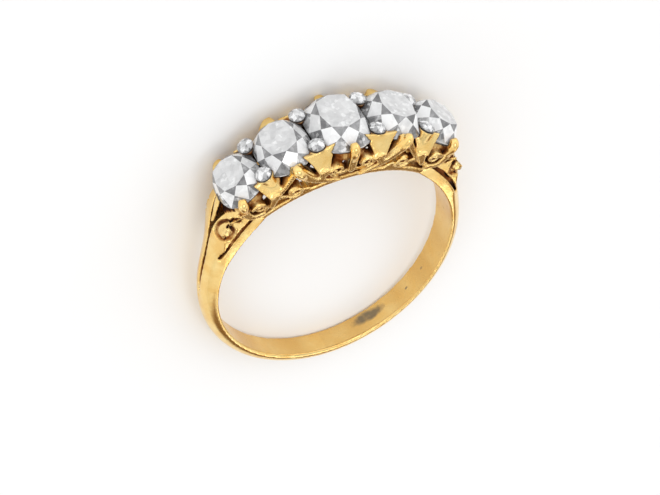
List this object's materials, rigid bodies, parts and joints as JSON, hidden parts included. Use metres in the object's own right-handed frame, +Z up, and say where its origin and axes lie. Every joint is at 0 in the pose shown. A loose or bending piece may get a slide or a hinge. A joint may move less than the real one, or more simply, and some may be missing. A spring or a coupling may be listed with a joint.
{
  "type": "five stone ring",
  "caption": "Carved half hoop finger ring in yellow gold: a graduated arched row of old cut clear stones with small points between them, claw and scroll galleries, and a plain tapering band",
  "frame": {"origin": "centre of the finger hole, half way through the band", "axes": "+X along the row of stones, +Y from the finger hole towards the stones, +Z up with the ring lying on its side; the hole's axis leans from +Z by the angle at which the ring rests"},
  "size_m": [0.019, 0.0223, 0.0063],
  "materials": {
    "yellow_gold": "polished, worn",
    "clear_stone": "polished facets"
  },
  "bodies": {
    "root": {"gold_mount": "yellow_gold", "stone_1": "clear_stone", "stone_2": "clear_stone", "stone_3": "clear_stone", "stone_4": "clear_stone", "stone_5": "clear_stone", "point_front_1": "clear_stone", "point_front_2": "clear_stone", "point_front_3": "clear_stone", "point_front_4": "clear_stone", "point_back_1": "clear_stone", "point_back_2": "clear_stone", "point_back_3": "clear_stone", "point_back_4": "clear_stone"}
  },
  "joints": []
}
